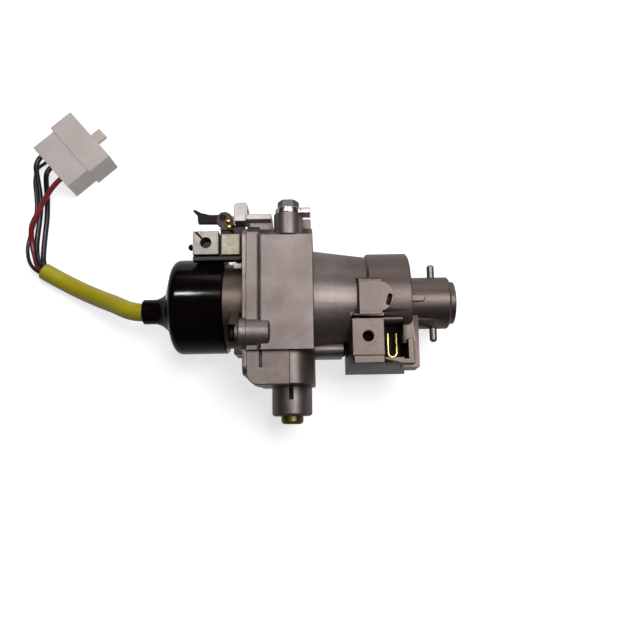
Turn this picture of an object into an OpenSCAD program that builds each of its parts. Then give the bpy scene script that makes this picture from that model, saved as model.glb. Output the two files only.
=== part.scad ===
// Vehicle ignition switch with steering lock, lying on its back.
// Key axis along +X, lock bolt along -Y, front of the casting towards +Z.
// Lengths are in millimetres. x = 0 is the lock bolt axis, y = z = 0 the key axis.

/* [Casting block] */
// Distance of the key axis above the rest face
axis_h = 25.5; // [25.4:0.1:28]
// Distance of the front face from the key axis
front_z = 27; // [25.5:0.1:30]
// Reach of the block above the key axis
block_up = 30.5; // [28:0.1:33]
// Reach of the block below the key axis
block_down = 24; // [23:0.1:26]
// Distance of the joint face left of the lock bolt axis
joint_left = 18.3; // [17.5:0.1:20]
// Distance of the block's right face from the lock bolt axis
block_right = 10.5; // [10:0.1:13]
// Slope of the top edge, along the height
bevel_up = 4.1; // [1:0.1:5]
// Slope of the top edge, along the depth
bevel_deep = 6; // [1:0.1:8]
// Width of the joint strip on the front face
strip_w = 5.4; // [4:0.1:7]
// Height of the strip's top above the block's top
strip_rise = 1.5; // [0.5:0.1:3]
// Depth of the strip below the front face
strip_drop = 0.6; // [0.2:0.1:1.2]
// Width of the groove beside the strip
groove_w = 0.9; // [0.5:0.1:1.5]
// Depth of the groove
groove_d = 1.6; // [0.8:0.1:3]
// Reach of the lower flange below the key axis
flange_down = 37; // [35:0.1:37.5]
// Front face of the lower flange above the key axis
flange_z = 24; // [21:0.1:25]
// Corner radius of the lower flange
flange_corner = 5; // [2:0.1:7]

/* [Barrel] */
// Cone radius at the block
cone_r = 25; // [23.5:0.1:25.2]
// Cone radius at the collar
cone_end_r = 21.8; // [20:0.1:22.6]
// Length of the cone
cone_len = 23.8; // [22:0.1:28]
// Radius of the collar
collar_r = 23.2; // [23:0.1:24.5]
// Length of the collar
collar_len = 19.2; // [18:0.1:23]
// Radius of the nose
nose_r = 12; // [11:0.1:14]
// Length of the nose
nose_len = 19.2; // [17:0.1:24]
// Radius of the end ring on the nose
ring_r = 9.8; // [9.2:0.1:10.8]
// Length of the end ring
ring_len = 5.3; // [4:0.1:8]
// Small edge chamfer on turned ends
edge = 0.8; // [0.3:0.1:1]
// Radius of the two nose pins
pin_r = 1.7; // [1.2:0.1:2]
// Reach of the nose pins from the key axis
pin_reach = 18.2; // [15:0.1:20]
// Distance of the nose pins from the collar
pin_from_collar = 12; // [9:0.1:13]

/* [Lock bolt] */
// Radius of the lower boss next to the block
boss_r = 10.8; // [10:0.1:11.2]
// Reach of the lower boss below the key axis
boss_down = 38; // [37.5:0.1:40]
// Forward run of the lower boss
boss_run = 12.6; // [8:0.1:13.5]
// Radius of the spigot that enters the column
spigot_r = 9.1; // [8.5:0.1:9.8]
// Length of the spigot
spigot_len = 13; // [10:0.1:16]
// Radius of the lock bolt
bolt_r = 5; // [4:0.1:5.5]
// Length of bolt that stands out of the spigot when locked
bolt_out = 3.6; // [2:0.1:4.2]
// Radius of the eccentric that lifts the bolt
cam_r = 8.2; // [8:0.1:8.8]
// Offset of the eccentric
cam_offset = 2.9; // [2.5:0.1:2.95]
// Thickness of the bolt's yoke
yoke_t = 5; // [4:0.1:6]

/* [Key cylinder] */
// Radius of the turning key plug
plug_r = 7.5; // [7:0.1:8]
// Height of the keyway
keyway_h = 8.8; // [7:0.1:9]
// Width of the keyway
keyway_w = 2.6; // [2:0.1:3]
// Number of wafer tumblers
wafer_count = 6; // [4:1:6]
// Thickness of a wafer
wafer_t = 1.2; // [0.8:0.1:1.5]
// Radius of the drive shaft
shaft_r = 5; // [4.6:0.1:5.1]
// Outer radius of the shaft's bush
bush_r = 8.5; // [8.3:0.1:9.5]
// Length of the bush
bush_len = 12; // [8:0.1:16]
// Radial running clearance of the turning pieces
run_gap = 0.05; // [0.02:0.01:0.1]

/* [Switch pocket] */
// Front face of the pocket block above the key axis
pad_z = 22; // [20:0.1:24]
// Radius of the tapped hole in the pad
tapped_r = 2.5; // [2:0.1:3]
// Depth of the tapped hole
tapped_d = 12; // [8:0.1:14]
// Width of the pocket window
window_w = 8.2; // [7:0.1:9]
// Height of the pocket window
window_h = 15.6; // [13:0.1:16]
// Depth of the pocket window
window_d = 16; // [12:0.1:18]
// Radius of the contact spring's wire
spring_wire_r = 0.7; // [0.4:0.05:0.9]

/* [Ignition switch] */
// Thickness of the steel end plate
plate_t = 1.9; // [1:0.1:3]
// Outer radius of the switch case
case_r = 19.6; // [19:0.1:20.2]
// Wall of the switch case
case_wall = 2; // [1.5:0.1:2.5]
// Length of the switch case
case_len = 18; // [17:0.1:22]
// Length of the case left bare by the boot
case_bare = 11.4; // [10:0.1:13]
// Outer radius of the boot
boot_r = 21.9; // [21.4:0.1:22.6]
// Length of the boot without its nozzle
boot_len = 27.4; // [25:0.1:32]
// Radius of the boot's nozzle
nozzle_r = 5.5; // [5:0.1:6.5]
// Length of the nozzle
nozzle_len = 11; // [8:0.1:14]
// Radius of the case screws
screw_r = 1.95; // [1.5:0.05:2.2]

/* [Top fittings] */
// Radius of the bolt boss on top
top_boss_r = 6.4; // [6:0.1:7]
// Top of the bolt boss above the key axis
top_boss_up = 36.3; // [36:0.1:37]
// Radius of the hex bolt's shank
hex_r = 2.95; // [2.5:0.05:3.2]
// Width of the hex head across flats
hex_flats = 10; // [9:0.1:11]
// Thickness of the hex head
hex_t = 3.6; // [3:0.1:4.2]
// Thickness of the steel fittings
steel_t = 2.6; // [2:0.1:2.8]
// Top of the bracket's post above the key axis
post_up = 43.6; // [43:0.1:47]
// Radius of the lever's pivot pin
pivot_r = 1.2; // [0.9:0.05:1.4]
// Length of the lever from its pivot
lever_len = 14.2; // [12:0.1:16]
// Radius of the lead hole in the terminal block
lead_r = 2.4; // [2:0.1:3]

/* [Lead] */
// Diameter of the yellow sleeve
sleeve_d = 8.7; // [7:0.1:8.8]
// Diameter of the thick wires
wire_d = 2.6; // [2:0.1:2.8]
// Diameter of the thin wire
thin_d = 1.8; // [1.2:0.1:2]
// Length of the connector
connector_l = 26; // [24:0.1:30]
// Thickness of the connector
connector_t = 15; // [14:0.1:17]

/* [Hidden] */
$fn = 64;

// Overlap that lets two forms of one casting fuse, and cuts run past a face
over = 0.5;
// Seat clearance between fixed pieces
seat = 0.1;

// Stations along the key axis
joint_x = -joint_left;
cone_x = block_right + cone_len;
collar_x = cone_x + collar_len;
nose_x = collar_x + nose_len;
ring_x = nose_x + ring_len;
plate_x = joint_x - plate_t;
case_x = plate_x - case_len;
rim_x = plate_x - case_bare;
boot_x = rim_x - boot_len;
nozzle_x = boot_x - nozzle_len;

// Reach along the lock bolt
spigot_y = -boss_down - spigot_len;
tip_y = spigot_y - bolt_out;

// The part's origin is the middle of its footprint, on the rest face
center_x = (ring_x + nozzle_x) / 2;
center_y = (post_up + tip_y) / 2;

module place() {
    translate([-center_x, -center_y, axis_h]) children();
}

// Turns a shape that rises along +Z to run along +X
module along_x() {
    rotate([0, 90, 0]) children();
}

// Runs a profile drawn in Y and Z along +X
module yz_extrude(x, length) {
    translate([x, 0, 0]) rotate([90, 0, 90]) linear_extrude(length) children();
}

// Box from its lowest to its highest corner
module span(low, high) {
    translate(low) cube(high - low);
}

// Round boss with a small chamfer at its free end
module chamfered(r, h, c) {
    rotate_extrude() polygon([[0, 0], [r, 0], [r, h - c], [r - c, h], [0, h]]);
}

function arc(center, r, from, to, steps) =
    [for (i = [0:steps]) let (a = from + (to - from) * i / steps)
        center + r * [cos(a), sin(a)]];

// Case screws: place across the key axis, as [y, z]
front_screw = [-16.4, 21.5];
rear_screw = [24, -12.4];
screw_depth = 8.3;
screw_boss_r = 7.4;
screw_boss_len = 10.3;

// Mechanism chamber in the block
chamber_half_y = 19;
chamber_half_z = 17;
chamber_x = 6;
tunnel_end = collar_x - 10.5;
plug_x = tunnel_end + 1;
lip_t = 1;
spring_pocket_r = 4.6;
spring_pocket_y = 26;
notch_len = 5.9;

// Top bolt and its boss
top_bolt_z = 22;
top_boss_low = block_up - bevel_up;
hex_depth = 14;
pads_z = 8;
// Seat of the bracket above the key axis
seat_y = block_up + 4.4;

// Key cylinder
tongue_len = 5;
tongue_t = 4;
tongue_half = shaft_r - 0.6;
// Turn of the eccentric from the front when locked
cam_phase = 60;

// Pocket block
pad_left = cone_x - 7.1;
pad_w = 13.6;
pad_split = pad_left + pad_w;
window_right = pad_split + window_w;
window_high = -12;
window_low = window_high - window_h;
pad_low = window_low - 2.2;
pad_high = window_high + 1.6;
pocket_right = window_right + 7;
rail_x = window_right + 1.9;
rail_w = 2.5;
rail_z = pad_z - 3;
hole_at = [pad_left + 6.7, window_high - 6.1];

module barrel() {
    along_x() rotate_extrude() polygon([
        [0, block_right - over], [cone_r, block_right - over], [cone_r, block_right],
        [cone_end_r, cone_x], [collar_r - edge, cone_x], [collar_r, cone_x + edge],
        [collar_r, collar_x - edge], [collar_r - edge, collar_x], [nose_r, collar_x],
        [nose_r, nose_x - edge], [nose_r - edge, nose_x], [ring_r, nose_x],
        [ring_r, ring_x - edge], [ring_r - edge, ring_x], [0, ring_x]]);
}

module block_profile() {
    polygon([[-block_down, -axis_h], [block_up, -axis_h], [block_up, front_z - bevel_deep],
        [block_up - bevel_up, front_z], [-block_down, front_z]]);
}

module block() {
    strip_x = joint_x + strip_w;
    strip_up = block_up + strip_rise;
    strip_z = front_z - strip_drop;
    difference() {
        union() {
            yz_extrude(strip_x - over, block_right - strip_x + over) block_profile();
            yz_extrude(joint_x, strip_w) polygon([[-block_down, -axis_h], [strip_up, -axis_h],
                [strip_up, strip_z - bevel_deep], [strip_up - bevel_up, strip_z],
                [-block_down, strip_z]]);
        }
        span([strip_x, -block_down - over, front_z - groove_d],
            [strip_x + groove_w, block_up + over, front_z + over]);
    }
}

module lower_flange() {
    corner = [joint_x + flange_corner, -flange_down + flange_corner];
    slope = 5;
    intersection() {
        translate([0, 0, -axis_h]) linear_extrude(axis_h + front_z) polygon(concat(
            arc(corner, flange_corner, 180, 270, 8),
            [[0, -flange_down], [0, -block_down + over], [joint_x, -block_down + over]]));
        yz_extrude(joint_x - over, joint_left + 2 * over) polygon([
            [-flange_down, -axis_h + slope], [-flange_down + slope, -axis_h],
            [-block_down + over, -axis_h], [-block_down + over, flange_z],
            [-flange_down + slope, flange_z], [-flange_down, flange_z / 2]]);
    }
}

module lower_boss() {
    rise = block_down - over;
    translate([0, -rise, 0]) rotate([90, 0, 0]) linear_extrude(boss_down - rise) {
        circle(boss_r);
        translate([0, boss_run]) circle(boss_r);
        translate([-boss_r, 0]) square([2 * boss_r, boss_run]);
    }
    translate([0, -boss_down + over, 0]) rotate([90, 0, 0])
        chamfered(spigot_r, spigot_len + over, edge);
}

module bridge() {
    low = 16;
    top = collar_r + 1.3;
    left = pad_left + 0.4;
    right = pad_split - 0.8;
    slope = 2.8;
    hull() {
        span([left, -9, low], [right, 9.6, low + 1]);
        span([left + slope, -9, top - 1], [right, 6.4, top]);
    }
    translate([right - 1.4, -1.2, low]) cylinder(h = top - low, r = 6.6);
}

module pocket_block() {
    base = -3;
    draft = 2.7;
    rail_low = pad_low - 0.4;
    hull() {
        span([pad_left - draft, pad_low - draft, base],
            [window_right + draft, pad_high + draft, base + 1]);
        span([pad_left, pad_low, pad_z - 1], [window_right, pad_high, pad_z]);
    }
    span([window_right - over, pad_low - 1.6, 2], [pocket_right, pad_high + 1.4, rail_z]);
    // Ledge above the pad
    span([pad_left + 0.4, pad_high + 0.8, pad_z - 6], [pad_split, pad_high + 2, pad_z + 1.4]);
    // Raised rail round the lower right of the window
    span([rail_x, rail_low, rail_z - over], [rail_x + rail_w, window_low + 8.2, rail_z + 2]);
    span([pad_split + 0.6, rail_low, rail_z - over], [rail_x + 1, rail_low + 1.7, rail_z + 2.6]);
}

module top_pads() {
    // Seat of the bracket on the left, plain pad on the right
    span([joint_x + 0.8, block_up - over, pads_z], [-top_boss_r - 1, seat_y, 17.5]);
    span([3, block_up - over, pads_z], [block_right - 0.7, seat_y + 0.5, 19.5]);
    translate([0, top_boss_low, top_bolt_z]) rotate([-90, 0, 0])
        cylinder(h = top_boss_up - top_boss_low, r = top_boss_r);
}

module nose_key() {
    half = 1.4;
    length = 6.8;
    span([collar_x - over, -half, nose_r - 1], [collar_x + length - half, half, nose_r + 1]);
    translate([collar_x + length - half, 0, nose_r - 1]) cylinder(h = 2, r = half * 0.98);
}

module lock_body() {
    color("rosybrown") difference() {
        union() {
            block();
            barrel();
            lower_flange();
            lower_boss();
            bridge();
            pocket_block();
            top_pads();
            nose_key();
            // Boss of the front case screw
            translate([joint_x, front_screw[0], front_screw[1]]) along_x()
                chamfered(screw_boss_r, screw_boss_len, edge);
            // Rib under the cone
            span([block_right - over, -cone_r - 0.2, -4],
                [block_right + 12.5, -cone_end_r + 4, 8]);
            // Rear rest pad under the collar
            span([cone_x + 2, -9, -axis_h], [collar_x - 3, 9, -collar_r + 3]);
        }
        // Chamber, shaft tunnel and plug bore
        span([joint_x - over, -chamber_half_y, -chamber_half_z],
            [chamber_x, chamber_half_y, chamber_half_z]);
        translate([chamber_x - over, 0, 0]) along_x()
            cylinder(h = tunnel_end - chamber_x + over, r = bush_r + seat / 2);
        translate([tunnel_end - over, 0, 0]) along_x()
            cylinder(h = ring_x - lip_t - tunnel_end + over, r = plug_r + run_gap);
        translate([ring_x - lip_t - over, 0, 0]) along_x()
            cylinder(h = lip_t + 2 * over, r = plug_r - lip_t);
        // Lock bolt bore and its spring pocket
        translate([0, -chamber_half_y + over, 0]) rotate([90, 0, 0])
            cylinder(h = -spigot_y - chamber_half_y + 2 * over, r = bolt_r + run_gap);
        translate([0, chamber_half_y - over, 0]) rotate([-90, 0, 0])
            cylinder(h = spring_pocket_y - chamber_half_y + over, r = spring_pocket_r);
        // Notch in the front left of the spigot
        span([-spigot_r - 1, -boss_down - notch_len, spigot_r - 3.5],
            [0.8, -boss_down - 0.6, spigot_r + 1]);
        // Tapped hole in the pad, window and its side notch
        translate([hole_at[0], hole_at[1], pad_z - tapped_d])
            cylinder(h = tapped_d + over, r = tapped_r);
        span([pad_split, window_low, pad_z - window_d], [window_right, window_high, pad_z + 4]);
        span([window_right - over, window_low, rail_z - 8],
            [rail_x, window_low + 6.6, rail_z + 4]);
        // Lower strip of the pad
        span([pad_left - 2, pad_low - 2, pad_z - 0.6],
            [pad_split - 0.2, window_low + 1.2, pad_z + 1]);
        // Scoop beside the bridge
        translate([pad_split + 3.8, -1.6, collar_r + 3.4]) sphere(r = 5);
        // Groove across the lower flange
        span([joint_x + strip_w, -flange_down + 6, flange_z - groove_d],
            [joint_x + strip_w + 1.2, -block_down + 2, flange_z + over]);
        // Top bolt and case screw holes
        translate([0, top_boss_up + over, top_bolt_z]) rotate([90, 0, 0])
            cylinder(h = hex_depth + over, r = hex_r + run_gap);
        for (at = [front_screw, rear_screw])
            translate([joint_x - over, at[0], at[1]]) along_x()
                cylinder(h = screw_depth + over, r = screw_r + run_gap);
        // Nose pin holes
        for (side = [-1, 1])
            translate([collar_x + pin_from_collar, side * (plug_r + 2), 0])
                rotate([-90 * side, 0, 0]) cylinder(h = nose_r, r = pin_r);
    }
}

module end_plate() {
    corner = 4;
    low_y = -flange_down + 3 + corner;
    high_y = block_up - corner;
    low_z = -axis_h + 3.5 + corner;
    lug_y = 14;
    lug_z = sqrt(pow(case_r + 0.7, 2) - pow(lug_y, 2));
    color("gainsboro") difference() {
        union() {
            yz_extrude(plate_x, plate_t) polygon(concat(
                arc([low_y, low_z], corner, 180, 270, 6), arc([high_y, low_z], corner, 270, 360, 6),
                arc([high_y, front_z - 1.4 - corner], corner, 0, 90, 6),
                arc([low_y, flange_z - 0.4 - corner], corner, 90, 180, 6)));
            translate([joint_x, front_screw[0], front_screw[1]]) rotate([0, -90, 0])
                chamfered(screw_boss_r - 0.2, plate_t + ear_gap, 0.4);
            // Lug bent over the switch case
            span([plate_x - 4.8, lug_y, lug_z], [plate_x + over, lug_y + 2.6, lug_z + 1.7]);
        }
        translate([plate_x - over, 0, 0]) along_x()
            cylinder(h = plate_t + 2 * over, r = shaft_r + run_gap);
        for (at = [front_screw, rear_screw])
            translate([plate_x - ear_gap - over, at[0], at[1]]) along_x()
                cylinder(h = plate_t + ear_gap + 2 * over, r = screw_r + seat);
    }
}

// Ear of the switch case, reaching out to a screw
module case_ear(at, r, from, to) {
    reach = norm(at);
    along = at / reach * (case_r - 4);
    translate([from, 0, 0]) rotate([90, 0, 90]) linear_extrude(to - from) hull() {
        translate(at) circle(r, $fn = 32);
        translate(along) circle(r + 1, $fn = 32);
    }
}

// Height of the plate's ear, on which the case's front ear seats
ear_gap = 1.4;
ear_t = 4.2;
head_t = 2.6;
head_r = 3.8;

module switch_case() {
    inner = case_r - case_wall;
    front_ear_x = plate_x - ear_gap;
    color("dimgray") difference() {
        union() {
            translate([case_x, 0, 0]) along_x() cylinder(h = case_len, r = case_r);
            case_ear(front_screw, 6.2, front_ear_x - ear_t, front_ear_x);
            case_ear(rear_screw, 5.4, plate_x - ear_t, plate_x);
            // Locating lug at the bottom
            span([plate_x - 5.2, -case_r - 4, -6], [plate_x, -case_r + 5, 10]);
        }
        translate([case_x - over, 0, 0]) along_x()
            cylinder(h = case_len - case_wall + over, r = inner);
        translate([plate_x - case_wall - over, 0, 0]) along_x()
            cylinder(h = case_wall + 2 * over, r = hub_r + 0.3);
        for (at = [front_screw, rear_screw])
            translate([plate_x - 12, at[0], at[1]]) along_x()
                cylinder(h = 14, r = screw_r + seat);
        // Recess round the front screw's head, open to the front
        translate([front_ear_x - ear_t - over, front_screw[0], front_screw[1]]) along_x()
            cylinder(h = head_t + over, r = head_r + 0.4);
        span([front_ear_x - ear_t - over, front_screw[0] - 3.4, front_screw[1]],
            [front_ear_x - ear_t + head_t, front_screw[0] + 3.4, front_screw[1] + 9]);
    }
}

module rubber_boot() {
    wall = 2.2;
    drop = [0, -1.5, -2];
    color([0.09, 0.08, 0.08]) difference() {
        union() {
            along_x() rotate_extrude() polygon(concat(
                [[0, rim_x], [boot_r - edge, rim_x], [boot_r, rim_x - edge]],
                [for (p = arc([boot_r - 8, boot_x + 7.4], 8, 0, -62, 10)) p],
                [[9, boot_x], [0, boot_x]]));
            translate(drop + [nozzle_x, 0, 0]) along_x() rotate_extrude() polygon([
                [0, 0], [nozzle_r - 0.5, 0], [nozzle_r, 0.5], [nozzle_r, nozzle_len - 3],
                [nozzle_r + 2.6, nozzle_len], [nozzle_r + 2.6, nozzle_len + 1],
                [0, nozzle_len + 1]]);
        }
        translate([case_x, 0, 0]) along_x()
            cylinder(h = rim_x - case_x + over, r = case_r);
        along_x() rotate_extrude() polygon([[0, case_x + over], [case_r - wall, case_x + over],
            [case_r - wall, boot_x + 8], [9, boot_x + wall], [0, boot_x + wall]]);
        translate(drop + [nozzle_x - over, 0, 0]) along_x()
            cylinder(h = nozzle_len + 4, r = sleeve_d / 2);
    }
}

// Switch works inside the case
hub_r = 6.5;
rotor_r = 14.5;
rotor_x = plate_x - 10.3;
rotor_t = 4.5;
bridge_t = 1.2;
base_t = 4.2;
stud_ring = 10;
stud_gap = 0.3;
square_w = 6;

module switch_base() {
    color("saddlebrown") translate([case_x, 0, 0]) along_x() difference() {
        cylinder(h = base_t, r = case_r - case_wall - seat);
        for (i = [0:3])
            rotate(45 + 90 * i) translate([stud_ring, 0, -over])
                cylinder(h = base_t + 2 * over, r = 1.6 + seat / 2);
    }
}

module contact_studs() {
    head = rotor_x - bridge_t - stud_gap;
    color("goldenrod") for (i = [0:3])
        translate([case_x, 0, 0]) along_x() rotate(45 + 90 * i) translate([stud_ring, 0, 0]) {
            translate([0, 0, -1]) cylinder(h = head - case_x + 1 - 0.5, r = 1.6);
            translate([0, 0, base_t]) cylinder(h = head - case_x - base_t, r = 2.6);
            span([-0.4, -3, -9], [0.4, 3, 0]);
        }
}

module switch_rotor() {
    socket = square_w / 2 + seat;
    color("wheat") difference() {
        union() {
            translate([rotor_x, 0, 0]) along_x() cylinder(h = rotor_t, r = rotor_r);
            translate([rotor_x, 0, 0]) along_x()
                cylinder(h = plate_x - rotor_x - 0.8, r = hub_r);
        }
        span([rotor_x - over, -socket, -socket], [plate_x, socket, socket]);
    }
}

module contact_bridge() {
    color("peru") translate([rotor_x - bridge_t, 0, 0]) along_x() difference() {
        intersection() {
            cylinder(h = bridge_t, r = stud_ring + 3);
            union() {
                cylinder(h = bridge_t, r = square_w + 2);
                for (turn = [0, 120, 240])
                    rotate(turn) span([0, -4.5, 0], [stud_ring + 4, 4.5, bridge_t]);
            }
        }
        translate([0, 0, -over]) cylinder(h = bridge_t + 2 * over, r = square_w);
    }
}

// Coil swept as one solid of square wire rings along a helix about +Z
module coil(r, wire, pitch, turns, steps) {
    n = round(turns * steps);
    corners = [[-1, -1], [1, -1], [1, 1], [-1, 1]];
    points = [for (i = [0:n]) let (a = 360 * i / steps)
        for (c = corners) let (q = r + c[0] * wire / 2)
            [q * cos(a), q * sin(a), pitch * i / steps + c[1] * wire / 2]];
    sides = [for (i = [0:n - 1]) for (k = [0:3]) let (a = 4 * i + k, b = 4 * i + (k + 1) % 4)
        for (face = [[b, a, a + 4], [b, a + 4, b + 4]]) face];
    polyhedron(points, concat(sides, [[0, 1, 2, 3]], [[4 * n + 3, 4 * n + 2, 4 * n + 1, 4 * n]]),
        convexity = 8);
}

module return_spring() {
    wire = 1;
    from = rotor_x + rotor_t + 0.3 + wire / 2;
    to = plate_x - case_wall - 0.3 - wire / 2;
    color("lightgray") translate([from, 0, 0]) along_x()
        coil(hub_r + 2.6, wire, (to - from) / 1.75, 1.75, 24);
}

module case_screws() {
    front_x = plate_x - ear_gap - ear_t + head_t;
    color("gray") for (s = [[front_screw, front_x], [rear_screw, plate_x - ear_t]])
        translate([s[1], s[0][0], s[0][1]]) {
            along_x() translate([0, 0, -over])
                cylinder(h = joint_x - s[1] + screw_depth - 0.8 + over, r = screw_r);
            difference() {
                rotate([0, -90, 0]) chamfered(head_r, head_t, 0.6);
                span([-head_t - over, -head_r - 1, -0.5], [-head_t + 1, head_r + 1, 0.5]);
            }
        }
}

module drive_shaft() {
    cam_t = yoke_t - 0.6;
    color("slategray") {
        translate([plate_x - 0.6, 0, 0]) along_x()
            cylinder(h = plug_x - plate_x + 0.6, r = shaft_r);
        span([plug_x - over, -tongue_half, -tongue_t / 2],
            [plug_x + tongue_len - seat, tongue_half, tongue_t / 2]);
        span([rotor_x + 0.4, -square_w / 2, -square_w / 2],
            [plate_x, square_w / 2, square_w / 2]);
        translate([-cam_t / 2, -cam_offset * sin(cam_phase), cam_offset * cos(cam_phase)]) along_x()
            cylinder(h = cam_t, r = cam_r);
    }
}

module shaft_bush() {
    color("darkkhaki") translate([tunnel_end - bush_len, 0, 0]) along_x() difference() {
        cylinder(h = bush_len, r = bush_r);
        translate([0, 0, -over]) cylinder(h = bush_len + 2 * over, r = shaft_r + run_gap);
    }
}

// Wafer slots: place along the key axis
wafer_step = 3;
wafer_x = ring_x - 4.6;
wafer_half = 3;

module key_plug() {
    end = ring_x - lip_t - seat;
    color("silver") difference() {
        translate([plug_x, 0, 0]) along_x() cylinder(h = end - plug_x, r = plug_r);
        span([plug_x + tongue_len + 2, -keyway_h / 2, -keyway_w / 2],
            [end + over, keyway_h / 2, keyway_w / 2]);
        span([plug_x - over, -plug_r - 1, -tongue_t / 2 - seat],
            [plug_x + tongue_len, plug_r + 1, tongue_t / 2 + seat]);
        for (i = [0:wafer_count - 1])
            span([wafer_x - i * wafer_step - wafer_t - seat, -plug_r - 1, -wafer_half - seat],
                [wafer_x - i * wafer_step, plug_r + 1, wafer_half + seat]);
    }
}

module plug_wafers() {
    half_y = plug_r - 0.9;
    color("gold") for (i = [0:wafer_count - 1])
        translate([wafer_x - i * wafer_step - wafer_t - seat / 2, 0, 0]) difference() {
            span([0, -half_y, -wafer_half], [wafer_t, half_y, wafer_half]);
            span([-over, -keyway_h / 2 - 0.2, -keyway_w / 2 - 0.1],
                [wafer_t + over, keyway_h / 2 + 0.2, keyway_w / 2 + 0.1]);
        }
}

// Yoke of the lock bolt, about the eccentric at rest
yoke_gap = 0.35;
yoke_mid = -cam_offset * sin(cam_phase);
yoke_bar = 4.4;
yoke_low = yoke_mid - cam_r - yoke_gap;
yoke_high = yoke_mid + cam_r + yoke_gap;
yoke_side = cam_r + cam_offset + yoke_gap;

module lock_bolt() {
    color("darkgoldenrod") {
        translate([0, yoke_low - yoke_bar + over, 0]) rotate([90, 0, 0])
            chamfered(bolt_r, yoke_low - yoke_bar + over - tip_y, 1);
        difference() {
            span([-yoke_t / 2, yoke_low - yoke_bar, -yoke_side - 3],
                [yoke_t / 2, yoke_high + yoke_bar, yoke_side + 3]);
            span([-yoke_t, yoke_low, -yoke_side], [yoke_t, yoke_high, yoke_side]);
        }
    }
}

module bolt_spring() {
    wire = 0.9;
    from = yoke_high + yoke_bar + 0.2 + wire / 2;
    to = spring_pocket_y - 0.2 - wire / 2;
    color("lightgray") translate([0, from, 0]) rotate([-90, 0, 0])
        coil(3.6, wire, (to - from) / 5, 5, 12);
}

module nose_pins() {
    color("darkgray") for (side = [-1, 1])
        translate([collar_x + pin_from_collar, side * (plug_r + 2), 0]) rotate([-90 * side, 0, 0])
            chamfered(pin_r, pin_reach - plug_r - 2, edge);
}

module hex_bolt() {
    under = top_boss_up + steel_t;
    corner_r = hex_flats / sqrt(3);
    color("whitesmoke") translate([0, under, top_bolt_z]) rotate([-90, 0, 0]) {
        translate([0, 0, -steel_t - hex_depth + 1]) cylinder(h = steel_t + hex_depth, r = hex_r);
        intersection() {
            rotate(90) cylinder(h = hex_t, r = corner_r, $fn = 6);
            cylinder(h = hex_t + 2.4, r1 = corner_r + 2.4, r2 = corner_r - 2.4);
        }
    }
}

module tab_washer() {
    color("gainsboro") translate([0, top_boss_up, top_bolt_z]) rotate([-90, 0, 0]) difference() {
        union() {
            cylinder(h = steel_t, r = 5.8);
            span([0, -3.6, 0], [9.8, 3.6, steel_t]);
        }
        translate([0, 0, -over]) cylinder(h = steel_t + 2 * over, r = hex_r + seat);
    }
}

// Bracket on the left of the top boss
bracket_left = joint_x - 6.1;
post_w = 6;
post_z = 20;
tongue_z = 11;
tongue_thick = 2;
pivot_at = [bracket_left - 5.2, seat_y + 2.3];
pivot_edge = 2.6;

module bracket() {
    corner = 1.6;
    post_right = bracket_left + post_w;
    color("lightgray") difference() {
        union() {
            span([post_right - over, seat_y, tongue_z],
                [-top_boss_r - 1.2, seat_y + steel_t, post_z + 2]);
            translate([0, 0, tongue_z]) linear_extrude(post_z - tongue_z) polygon(concat(
                [[post_right, seat_y]],
                arc([post_right - corner, post_up - corner], corner, 0, 90, 6),
                arc([bracket_left + corner, post_up - corner], corner, 90, 180, 6),
                [[bracket_left, seat_y]]));
            span([pivot_at[0] - pivot_edge, seat_y + 0.2, tongue_z],
                [bracket_left + over, pivot_at[1] + pivot_edge, tongue_z + tongue_thick]);
        }
        translate([pivot_at[0], pivot_at[1], tongue_z - over])
            cylinder(h = tongue_thick + 2 * over, r = pivot_r);
    }
}

// Levels of the lever and its cap above the bracket's tongue
lever_z = tongue_z + tongue_thick + 0.3;
lever_t = 2.4;
cap_z = lever_z + lever_t + 0.3;
cap_t = 2.6;

module lever_pin() {
    color("silver") translate([pivot_at[0], pivot_at[1], tongue_z])
        cylinder(h = cap_z + cap_t - tongue_z, r = pivot_r);
}

module trip_lever() {
    arm = 4;
    eye = 2.5;
    flare = 2.2;
    color([0.12, 0.11, 0.11]) translate([pivot_at[0], pivot_at[1], lever_z]) difference() {
        union() {
            cylinder(h = lever_t, r = eye);
            linear_extrude(lever_t) polygon([[0, 2.4], [-6, 2.4], [-lever_len + 4, 3.4],
                [-lever_len + 1, 5], [-lever_len, 4.6], [-lever_len + flare, 2.4],
                [-lever_len + flare + 0.4, 2.4 - arm], [0, 2.4 - arm - 0.2]]);
        }
        translate([0, 0, -over]) cylinder(h = lever_t + 2 * over, r = pivot_r + run_gap);
    }
}

rivet_at = [pivot_at + [2.7, -1.9], pivot_at + [3.2, -4.6]];
rivet_r = 1;

module lever_cap() {
    foot_low = pivot_at[1] - 5.6;
    foot_high = pivot_at[1] - 1.2;
    foot_right = pivot_at[0] + 4.6;
    color("sienna") difference() {
        union() {
            translate([pivot_at[0] + 0.7, pivot_at[1] - 1, cap_z]) cylinder(h = cap_t, r = 3.7);
            span([pivot_at[0] - 1, foot_low, cap_z], [foot_right, foot_high, cap_z + cap_t]);
            span([foot_right - 1.8, foot_low, base_top], [foot_right, foot_high, cap_z + over]);
        }
        translate([pivot_at[0], pivot_at[1], cap_z - over])
            cylinder(h = cap_t + 2 * over, r = pivot_r + seat / 2);
        for (at = rivet_at)
            translate([at[0], at[1], cap_z + 1]) cylinder(h = cap_t, r = rivet_r);
    }
}

module cap_rivets() {
    color("gold") for (at = rivet_at)
        translate([at[0], at[1], cap_z + 1]) chamfered(rivet_r, cap_t + 0.2, 0.4);
}

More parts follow.
